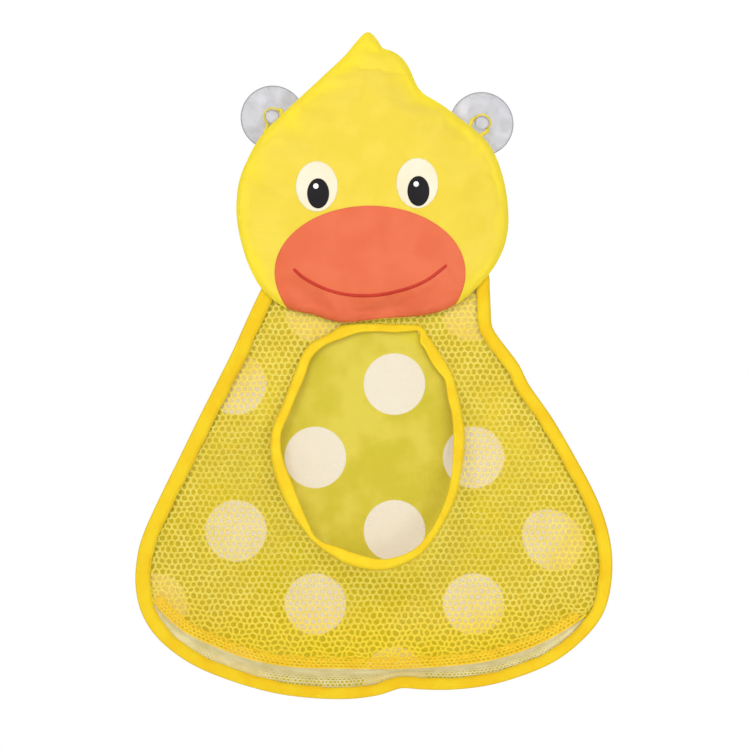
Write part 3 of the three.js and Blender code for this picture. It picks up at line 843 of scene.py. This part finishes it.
net = {
    "top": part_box("head_back_cover")[0].z,
    "hemLow": -0.38315,
    "widest": -0.3439,
    "depth": 0.042,
    "fullness": 1.25,
    "tuck": 0.3,  # share of the depth that the net loses where it turns under
    "tuckHeight": 0.03,
    "pitch": 0.0044,
    "rowPitch": 0.004,
    "strand": 0.00074,
    "thickness": 0.0008,
    "loose": 0.0004,
    "looseLow": 0.0008,
    "looseHeight": 0.06,
    "swayAcross": (310, 3, 190),  # how the cells are drawn out of line
    "swayDown": (290, 2, 220),
    "squeeze": 0.45,
    "lowest": 0.0012,  # above the hem
    "underMouth": 0.0035,  # how far the net runs on under the tapes
    "underEdge": 0.002,
    "spareBelow": 0.02,
    "sideFrom": 0.02,
    "sideBelow": 0.01,
    "flat": (0.333, 0.3),
    "keep": 0.37,
}
hem = {
    "line": [
        (-0.1553, -0.334), (-0.1485, -0.342), (-0.1395, -0.3507), (-0.1305, -0.3572), (-0.1205, -0.3622),
        (-0.109, -0.3668), (-0.093, -0.3727), (-0.073, -0.3775), (-0.05, -0.38), (-0.025, -0.3803),
        (0.032, -0.38), (0.09, -0.3735), (0.1141, -0.3653), (0.1385, -0.3525), (0.149, -0.3455),
    ],
    "spacing": 0.002,
    "rows": 3,
    "pitch": 0.0034,
    "rowPitch": 0.0022,
    "gap": 0.0011,
    "strand": 0.0006,
    "fold": 0.0008,
    "foldSides": 8,
}
mouth = {
    "outer": [
        (-0.028, -0.1465), (-0.0227, -0.1435), (-0.0173, -0.1425), (-0.008, -0.1422), (0.0121, -0.1428),
        (0.0321, -0.1442), (0.0354, -0.1458), (0.0388, -0.1504), (0.0421, -0.1564), (0.0468, -0.1631),
        (0.0535, -0.1747), (0.0577, -0.1867), (0.0614, -0.2047), (0.0634, -0.2168), (0.0631, -0.2312),
        (0.0607, -0.2478), (0.0571, -0.2622), (0.0499, -0.2778), (0.0403, -0.2933), (0.0331, -0.3016),
        (0.0211, -0.3088), (0.0067, -0.313), (-0.0054, -0.3124), (-0.0173, -0.3095), (-0.0293, -0.3029),
        (-0.0388, -0.2958), (-0.0508, -0.2826), (-0.0605, -0.2671), (-0.0664, -0.254), (-0.0706, -0.2386),
        (-0.0715, -0.2242), (-0.0688, -0.2109), (-0.0641, -0.2013), (-0.0582, -0.1857), (-0.0531, -0.1724),
        (-0.0502, -0.1651), (-0.0467, -0.1591), (-0.042, -0.155), (-0.0374, -0.1527), (-0.0314, -0.1496),
    ],
    "inner": [
        (-0.0089, -0.1484), (0.0019, -0.1478), (0.014, -0.1484), (0.0236, -0.1479), (0.0317, -0.1477),
        (0.0328, -0.1561), (0.0358, -0.1601), (0.0384, -0.1654), (0.0446, -0.1751), (0.0492, -0.1806),
        (0.0516, -0.1926), (0.0546, -0.2058), (0.0556, -0.219), (0.0552, -0.2345), (0.054, -0.2489),
        (0.051, -0.262), (0.045, -0.2764), (0.0379, -0.2882), (0.0295, -0.2977), (0.0187, -0.3031),
        (0.0043, -0.3055), (-0.0053, -0.3037), (-0.015, -0.3008), (-0.0246, -0.2972), (-0.0341, -0.2942),
        (-0.0407, -0.2895), (-0.0448, -0.2812), (-0.0507, -0.2681), (-0.0567, -0.2526), (-0.062, -0.2395),
        (-0.0641, -0.2311), (-0.0641, -0.2181), (-0.0596, -0.2073), (-0.0543, -0.1942), (-0.0481, -0.1798),
        (-0.0422, -0.1648), (-0.034, -0.1575), (-0.0221, -0.1527),
    ],
    "spacing": 0.002,
    "lift": 0.0015,
    "fold": 0.0011,
    "lean": 0.0003,
    "seam": 0.8,  # share of the width
    "ripple": 0.0003,
    "waves": [(1.0, 0.031, 0.4), (0.7, 0.0173, 1.9), (0.5, 0.0098, 4.0)],
}
lipLoop = inset(pouchLoop, pouch["tapeWidth"])
hemLine = smoothLine(hem["line"], hem["spacing"], closed=False)
mouthLoop = smoothLine(mouth["outer"], mouth["spacing"])[::-1]
mouthInner = smoothLine(mouth["inner"], mouth["spacing"])[::-1]
sides = []
for sign in (-1, 1):
    isSide = (lipLoop[:, 0] * sign > net["sideFrom"]) & (lipLoop[:, 1] > net["widest"] - net["sideBelow"])
    chain = lipLoop[isSide]
    sides.append(chain[np.argsort(chain[:, 1])])


def hemHeight(x):
    return np.interp(x, hemLine[:, 0], hemLine[:, 1])


def bulge(x, z):
    level = np.maximum(z, net["widest"])
    left, right = (np.interp(level, chain[:, 1], chain[:, 0]) for chain in sides)
    share = np.clip(np.abs((2 * x - left - right) / (right - left)), 0, 1)
    drop = np.clip((net["top"] - z) / (net["top"] - net["hemLow"]), 0, 1)
    low = np.clip(1 - (z - hemHeight(x)) / net["tuckHeight"], 0, 1)
    return net["depth"] * drop * (1 - share**2) ** net["fullness"] * (1 - net["tuck"] * low**2)


def onNet(flat):
    x, z = flat.T
    step = 0.0005
    slopes = [bulge(x + step, z) - bulge(x - step, z), bulge(x, z + step) - bulge(x, z - step)]
    facing = unit(np.column_stack([-slopes[0], np.full(len(x), -2 * step), -slopes[1]]))
    return raised(flat, pouch["netY"] - bulge(x, z)), facing


hexagon = [(0, 2), (-1, 1), (-1, -1), (0, -2), (1, -1), (1, 1)]  # in half pitches and thirds of a row


def cellsOf(lines, columns):
    return [(2 * column + line % 2, 3 * line) for line in lines for column in columns]


def hexagons(cells):
    # the corners that the cells share, and each cell as a ring of them
    index = {}
    faces = [[index.setdefault((a + da, b + db), len(index)) for da, db in hexagon] for a, b in cells]
    return np.array(list(index), float), faces


def netCells():
    # the net between the two tapes and above its hem
    pitch, row = net["pitch"], net["rowPitch"]
    gained = net["tuckHeight"] * net["squeeze"] / 3  # cloth that the turned edge takes up
    low, high = channelLoop.min(axis=0), channelLoop.max(axis=0)
    inner, outer = inset(mouthLoop, net["underMouth"]), inset(channelLoop, net["underEdge"])
    cells = cellsOf(
        range(math.floor((low[1] - net["spareBelow"]) / row), math.ceil(high[1] / row) + 1),
        range(math.floor(low[0] / pitch) - 1, math.ceil(high[0] / pitch) + 2),
    )

    def sway(one, other, waves):
        fast, bend, slow = waves
        return np.sin(one * fast + bend * np.sin(other * slow))

    def settle(keys):
        x, v = keys[:, 0] * pitch / 2, keys[:, 1] * row / 3
        above = np.clip((v - hemHeight(x)) / net["looseHeight"], 0, 1)
        loose = net["loose"] + net["looseLow"] * (1 - above) ** 2
        x = x + loose * sway(v, x, net["swayAcross"])
        v = v + loose * sway(x, v, net["swayDown"])
        height = v - hemHeight(x) + gained
        share = np.clip(height / net["tuckHeight"], 0, 1)
        drawn = net["tuckHeight"] * net["squeeze"] * (share - share**2 + share**3 / 3)
        return np.column_stack([x, hemHeight(x) + height - drawn]), height - drawn

    middles, heights = settle(np.array(cells, float))
    isKept = isInside(middles, outer) & ~isInside(middles, inner) & (heights > net["lowest"])
    corners, faces = hexagons([cell for cell, kept in zip(cells, isKept) if kept])
    return settle(corners)[0], faces


def openCells(piece, strand):
    # turns every cell into a ring of strands
    mesh = bmesh.new()
    mesh.from_mesh(piece.data)
    whole = mesh.faces[:]
    covered = sum(face.calc_area() for face in whole)
    bmesh.ops.inset_individual(mesh, faces=whole, thickness=strand, use_even_offset=True)
    bmesh.ops.delete(mesh, geom=whole, context="FACES")
    mesh.to_mesh(piece.data)
    mesh.free()
    piece.data.shade_smooth()
    return covered


def hangsSheer(piece):
    piece.visible_shadow = False  # thin nylon lets the light through
    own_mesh(piece)


def makeNet():
    flat, faces = netCells()
    piece = addMesh("frontNet", onNet(flat)[0], faces, netStrand)
    covered = openCells(piece, net["strand"])
    thicken(piece, net["thickness"], 0.0)
    place(piece, "pouch", "net", "front_net")
    hangsSheer(piece)


def makeHem():
    # the net's lower edge, turned up in front of itself
    along = lengths(hemLine)
    pitch, row = hem["pitch"], hem["rowPitch"]
    keys, faces = hexagons(cellsOf(range(hem["rows"]), range(1, int(along[-1] / pitch) - 1)))
    where = keys[:, 0] * pitch / 2
    flat = sampled(hemLine, along, where)
    upwards = sampled(leftOf(hemLine), along, where)
    points, facing = onNet(flat + upwards * ((keys[:, 1] + 2) * row / 3)[:, None])
    piece = addMesh("netHem", points + facing * hem["gap"], faces, hemStrand)
    openCells(piece, hem["strand"])
    thicken(piece, net["thickness"], 0.0)
    place(piece, "pouch", "net")
    hangsSheer(piece)
    points, facing = onNet(hemLine)
    roll = tube(points + facing * hem["gap"] / 2, hem["fold"], hem["foldSides"])
    fold = facingOut(addMesh("hemFold", *roll, hemStrand))
    place(fold, "pouch", "net")
    hangsSheer(fold)


makeNet()
makeHem()
print("net")

drain = {
    "y": -0.0145,
    "lip": 0.0111,
    "least": 0.005,
    "bend": 0.6,
    "hemGap": 0.0008,
    "steps": 24,
    "pitch": 0.0026,
    "rowShare": 0.9,
    "strand": 0.00048,
    "thickness": 0.0005,
    "flat": (0.32, 0.06),
}


def drainFloor():
    # a floor from the hem back to the edge binding, then down inside it
    roots = channelLoop[nearest(hemLine, channelLoop)[0]]
    rise = hemLine - roots
    length = np.linalg.norm(rise, axis=1)
    isOpen = length > drain["least"]
    hemPoints, roots, up = hemLine[isOpen], roots[isOpen], (rise / length[:, None])[isOpen]
    top = hemPoints - up * drain["hemGap"]
    lipHeight = np.minimum(drain["lip"] - pouch["channel"], length[isOpen] - 2 * drain["hemGap"])
    lip = roots + up * lipHeight[:, None]
    bend = lip + (top - lip) * drain["bend"]
    start = raised(top, onNet(hemPoints)[0][:, 1])
    middle, end = raised(bend, drain["y"]), raised(lip, drain["y"])
    share = np.linspace(0, 1, drain["steps"])[:, None, None]
    rows = (1 - share) ** 2 * start + 2 * share * (1 - share) * middle + share**2 * end
    return np.concatenate([rows, raised(roots, drain["y"])[None]]).transpose(1, 0, 2)


def makeDrain():
    steps = drain["steps"]
    floor = np.array([evenly(column, lengths(column)[-1] / steps, closed=False) for column in drainFloor()])
    wide = float(lengths(floor[:, 0])[-1])
    deep = max(float(lengths(column)[-1]) for column in floor)
    pitch, row = drain["pitch"], drain["pitch"] * drain["rowShare"]
    keys, faces = hexagons(cellsOf(range(1, round(deep / row)), range(1, round(wide / pitch) - 1)))
    column = np.interp(keys[:, 0] * pitch / 2, lengths(floor[:, 0]), np.arange(len(floor)))
    step = np.clip(keys[:, 1] * row / 3 / deep, 0, 1) * steps
    columnLow = np.minimum(column.astype(int), len(floor) - 2)
    stepLow = np.minimum(step.astype(int), steps - 1)
    acrossShare, downShare = (column - columnLow)[:, None], (step - stepLow)[:, None]

    def across(some):
        return floor[columnLow, some] * (1 - acrossShare) + floor[columnLow + 1, some] * acrossShare

    points = across(stepLow) * (1 - downShare) + across(stepLow + 1) * downShare
    piece = addMesh("drainNet", points, faces, drainStrand)
    covered = openCells(piece, drain["strand"])
    thicken(piece, drain["thickness"], 0.0)
    place(piece, "pouch", "drain_net", "drain_net")
    hangsSheer(piece)


makeDrain()


def sweptTape(name, stations, across, facing, section, material):
    # section points are given as across and lift for every station
    points = stations[:, None] + section[..., :1] * across[:, None] + section[..., 1:] * facing[:, None]
    faces = gridFaces(*section.shape[:2], True, True)
    return facingOut(addMesh(name, points.reshape(-1, 3), faces, material))


def tapeSection(width, half, fold, lean):
    # a folded tape, from its fold at 0 to its cut edges at width
    turn = np.linspace(-90, 90, 9) * math.pi / 180
    bent = [(fold - fold * math.cos(angle), half * math.sin(angle)) for angle in turn]
    flat = [(fold + (width - fold) * share, half - lean * share) for share in (0.33, 0.66, 1.0)]
    outside = np.array([(across, -lift) for across, lift in flat[::-1]] + bent + flat)
    thickness = pouch["tapeThickness"]
    inside = outside[::-1] * [1, (half - thickness) / half]
    drawnIn = thickness + inside[:, 0] * (1 - thickness / width)
    inside[:, 0] = np.minimum(np.maximum(inside[:, 0], drawnIn), width)
    return np.vstack([outside, inside])


stitch = {
    "length": 0.0022,
    "pitch": 0.0034,
    "radius": 0.00022,
    "places": [0, 0.12, 0.5, 0.88, 1],  # shares of the length
    "lifts": [-0.9, 0.2, 0.6, 0.2, -0.9],  # shares of the radius
    "radii": [0.5, 0.9, 1.0, 0.9, 0.5],
    "sides": 6,
}


def stitches(name, points, facing, body, material):
    radius = stitch["radius"]
    ring, normals = ringOf(points), ringOf(facing)
    along = lengths(ring)
    parts = []
    for start in np.arange(0, along[-1] - stitch["pitch"], stitch["pitch"]):
        places = start + stitch["length"] * np.array(stitch["places"])
        lift = sampled(normals, along, places) * radius * np.array(stitch["lifts"])[:, None]
        line = sampled(ring, along, places) + lift
        parts.append(tube(line, radius * np.array(stitch["radii"]), stitch["sides"]))
    place(facingOut(addMesh(name, *joined(parts), material)), body, "binding_tape")


edge = {
    "spacing": 0.003,
    "lean": 0.0005,
    "sideWider": 0.0013,  # the tape is folded unevenly
    "lowNarrower": 0.0011,
    "fold": 0.0016,
    "neckFold": 0.0036,  # the tape stands on edge at the right of the neck
    "neck": (0.081, -0.128),
    "neckReach": 0.022,
    "seam": 0.0018,
    "ripple": 0.0002,
    "rippleOut": 0.0001,
    "waves": [(1.0, 0.031, 0.3), (0.7, 0.0173, 2.0), (0.5, 0.0098, 4.4)],
}


def makeEdgeBinding():
    loop = evenly(pouchLoop, edge["spacing"])
    along = lengths(ringOf(loop))
    middleY = (pouch["tapeFrontY"] + pouch["tapeBackY"]) / 2
    half = (pouch["tapeBackY"] - pouch["tapeFrontY"]) / 2
    near = np.exp(-((np.linalg.norm(loop - edge["neck"], axis=1) / edge["neckReach"]) ** 4))
    folds = edge["fold"] + (edge["neckFold"] - edge["fold"]) * near
    into = inward(loop)
    widths = pouch["tapeWidth"] + edge["sideWider"] * np.maximum(into[:, 0], 0)
    widths -= edge["lowNarrower"] * np.maximum(into[:, 1], 0)
    lean = edge["lean"]
    sections = np.array([tapeSection(width, half, fold, lean) for width, fold in zip(widths, folds)])
    inwards = sections[..., 0] / widths[:, None]
    sections[..., 0] += inwards * ripple(along, edge["ripple"], edge["waves"])[:, None]
    sections[..., 1] += inwards**2 * ripple(along, edge["rippleOut"], edge["waves"])[:, None]
    stations, across = raised(loop, middleY), raised(into, 0.0)
    facing = np.tile([0.0, -1.0, 0.0], (len(loop), 1))
    piece = sweptTape("edgeBinding", stations, across, facing, sections, shadedEdgeTape)
    place(piece, "pouch", "binding_tape", "edge_binding")
    seam = stations + across * (widths - edge["seam"])[:, None]
    for face, out in (("front", facing), ("back", -facing)):
        stitches(f"edgeStitches_{face}", seam + out * (half - lean), out, "pouch", shadedEdgeTape)


makeEdgeBinding()


def makeMouthBinding():
    loop = evenly(mouthInner, mouth["spacing"])
    along = lengths(ringOf(loop))
    stations, facing = onNet(loop)
    ahead = np.roll(stations, -1, 0) - np.roll(stations, 1, 0)
    out = unit(np.cross(facing, ahead))
    out *= np.sign((out * -raised(inward(loop), 0.0)).sum(axis=1))[:, None]
    widths = nearest(loop, mouthLoop)[1]
    widths = (np.roll(widths, 1) + widths + np.roll(widths, -1)) / 3
    lift, lean = mouth["lift"], mouth["lean"]
    sections = np.array([tapeSection(width, lift, mouth["fold"], lean) for width in widths])
    inwards = 1 - sections[..., 0] / widths[:, None]
    sections[..., 1] += inwards * ripple(along, mouth["ripple"], mouth["waves"])[:, None]
    piece = sweptTape("mouthBinding", stations, out, facing, sections, mouthTape)
    place(piece, "mouth", "binding_tape", "mouth_binding")
    seam = stations + out * (mouth["seam"] * widths)[:, None] + facing * (lift - lean)
    stitches("mouthStitches", seam, facing, "mouth", mouthTape)


makeMouthBinding()
print("pouch")

# Suction cups on twisted cord loops

cup = {
    "profile": [
        [
            (0.0, 0.0163), (0.0042, 0.0162), (0.0049, 0.0154), (0.005, 0.0138), (0.0044, 0.0124),
            (0.0035, 0.0121),
        ],
        [
            (0.0035, 0.0121), (0.0034, 0.0105), (0.0037, 0.0092), (0.005, 0.0085), (0.0078, 0.0072),
            (0.0105, 0.0056), (0.016, 0.0034), (0.0205, 0.0017), (0.0225, 0.0008),
        ],
        [(0.0225, 0.0008), (0.0225, 0.0002), (0.0222, 0.0)],
        [(0.0222, 0.0), (0.0205, 0.0)],
        [(0.0205, 0.0), (0.0154, 0.0019), (0.0082, 0.0031), (0.0, 0.0035)],
    ],
    "spacing": 0.0006,
    "segments": 72,
}
cord = {
    "radius": 0.00076,
    "twistRadius": 0.0008,
    "strands": 3,
    "twistPitch": 0.0072,
    "spacing": 0.0006,
    "sides": 8,
    "sewnIn": 0.0006,
    "neckY": -0.0104,
    "wrap": 0.0053,
    "flare": {"left": 0.007, "right": 0.0062},
    "flareY": -0.0123,
    "flareBack": 0.0015,
    "spread": {"left": (-0.0116, 0.006), "right": (-0.0045, 0.0045)},
    "turn": [180, 140, 90, 40, 0],
}


def makeCup(side):
    centreX, centreZ = cupMiddles[side]
    line = [smoothLine(part, cup["spacing"], closed=False)[:-1] for part in cup["profile"]]
    line = np.vstack([*line, [[0.0, cup["profile"][-1][-1][1]]]])
    middle = line[1:-1]
    rings = np.array([
        raised(ellipse(cupMiddles[side], (radius, radius), cup["segments"]), -height)
        for radius, height in middle
    ])
    ends = [[centreX, -line[0, 1], centreZ], [centreX, -line[-1, 1], centreZ]]
    points = np.vstack([rings.reshape(-1, 3), ends])
    faces = gridFaces(len(middle), cup["segments"], False, True)
    tip, bottom = len(points) - 2, len(points) - 1
    last = (len(middle) - 1) * cup["segments"]
    for step in range(cup["segments"]):
        after = (step + 1) % cup["segments"]
        faces.append((after, step, tip))
        faces.append((last + step, last + after, bottom))
    piece = facingOut(addMesh(f"suctionCup_{side}", points, faces, clearVinyl))
    place(piece, f"cup_{side}", "clear_vinyl", f"suction_cup_{side}")


def makeLoop(side, axis):
    seat = headLoop[nearest(axis[None], headLoop)[0][0]]
    reach = float(np.linalg.norm(axis - seat))
    out = (axis - seat) / reach
    along = np.array([out[1], -out[0]])

    def at(sideways, away, y):
        x, z = seat + along * sideways + out * away
        return (x, y, z)

    def end(sideways):
        near = nearest((seat + along * sideways)[None], headLoop)[0][0]
        x, z = headLoop[near] + inward(headLoop)[near] * cord["sewnIn"]
        return (x, head["seamY"], z)

    turn = [math.radians(angle) for angle in cord["turn"]]
    flare = cord["flare"][side]
    flareReach = reach - cord["flareBack"]
    route = [end(cord["spread"][side][0]), at(-flare, flareReach, cord["flareY"])]
    wrap = cord["wrap"]
    route += [at(wrap * math.cos(angle), reach + wrap * math.sin(angle), cord["neckY"]) for angle in turn]
    route += [at(flare, flareReach, cord["flareY"]), end(cord["spread"][side][1])]
    line = smoothLine(route, cord["spacing"], closed=False)
    first, second = crossways(line)
    angle = lengths(line) * 2 * math.pi / cord["twistPitch"]
    parts = []
    for strand in range(cord["strands"]):
        phase = angle + strand * 2 * math.pi / cord["strands"]
        shift = np.cos(phase)[:, None] * first + np.sin(phase)[:, None] * second
        parts.append(tube(line + shift * cord["twistRadius"], cord["radius"], cord["sides"]))
    piece = facingOut(addMesh(f"hangingLoop_{side}", *joined(parts), loopCord))
    place(piece, f"loop_{side}", "cord", f"hanging_loop_{side}")


for side in ("left", "right"):
    makeCup(side)
    makeLoop(side, cupMiddles[side])
print("cups and loops")

# Studio

studio = {
    "frameWidth": 0.5235,
    "aim": (0.0011, -0.02, -0.17815),
    "distance": 2.6,
    "sensor": 36.0,
    "floor": (238, 238, 236),
    "floorRadius": 0.55,
    "floorSides": 64,
    "floorZ": -0.55,
    "ambient": 0.72,
    "lights": {  # place, size and power
        "keyLight": ((-0.6, -1.6, 0.7), 1.0, 13.0),
        "fillLight": ((0.8, -1.7, -0.35), 1.2, 12.0),
    },
}


def addLight(name, spot, size, power):
    data = bpy.data.lights.new(name, "AREA")
    data.shape = "DISK"
    data.size = size
    data.energy = power
    lamp = bpy.data.objects.new(name, data)
    lamp.location = spot
    lamp.rotation_euler = (Vector(studio["aim"]) - Vector(spot)).to_track_quat("-Z", "Y").to_euler()
    scene.collection.objects.link(lamp)


for name, light in studio["lights"].items():
    addLight(name, *light)

rim = ellipse((0, 0), (studio["floorRadius"], studio["floorRadius"]), studio["floorSides"])
floorPoints = [(x, y, studio["floorZ"]) for x, y in rim]
floor = addMesh("floor", floorPoints, [range(studio["floorSides"])], paint("floor", studio["floor"], 0.9))

world = bpy.data.worlds.new("studio")
world.use_nodes = True
scene.world = world
tree = world.node_tree
base = Socket(tree)
seen = (
    base.node("ShaderNodeLightPath", output="Is Camera Ray")
    + base.node("ShaderNodeLightPath", output="Is Glossy Ray")
    + base.node("ShaderNodeLightPath", output="Is Transmission Ray")
).least(1.0)
soft = base.node("ShaderNodeBackground", {}, {"Strength": studio["ambient"], "Color": (1, 1, 1, 1)})
white = base.node("ShaderNodeBackground", {}, {"Strength": 1.0, "Color": (1, 1, 1, 1)})
shown = base.node("ShaderNodeMixShader", {}, {0: seen, 1: soft, 2: white})
tree.links.new(shown.socket, tree.nodes["World Output"].inputs["Surface"])

lens = bpy.data.cameras.new("camera")
lens.sensor_width = studio["sensor"]
lens.lens = studio["sensor"] * studio["distance"] / studio["frameWidth"]
camera = bpy.data.objects.new("camera", lens)
camera.location = Vector(studio["aim"]) - Vector((0, studio["distance"], 0))
camera.rotation_euler = (math.radians(90), 0, 0)
scene.collection.objects.link(camera)
scene.camera = camera
scene.view_settings.view_transform = "Standard"

print("studio")
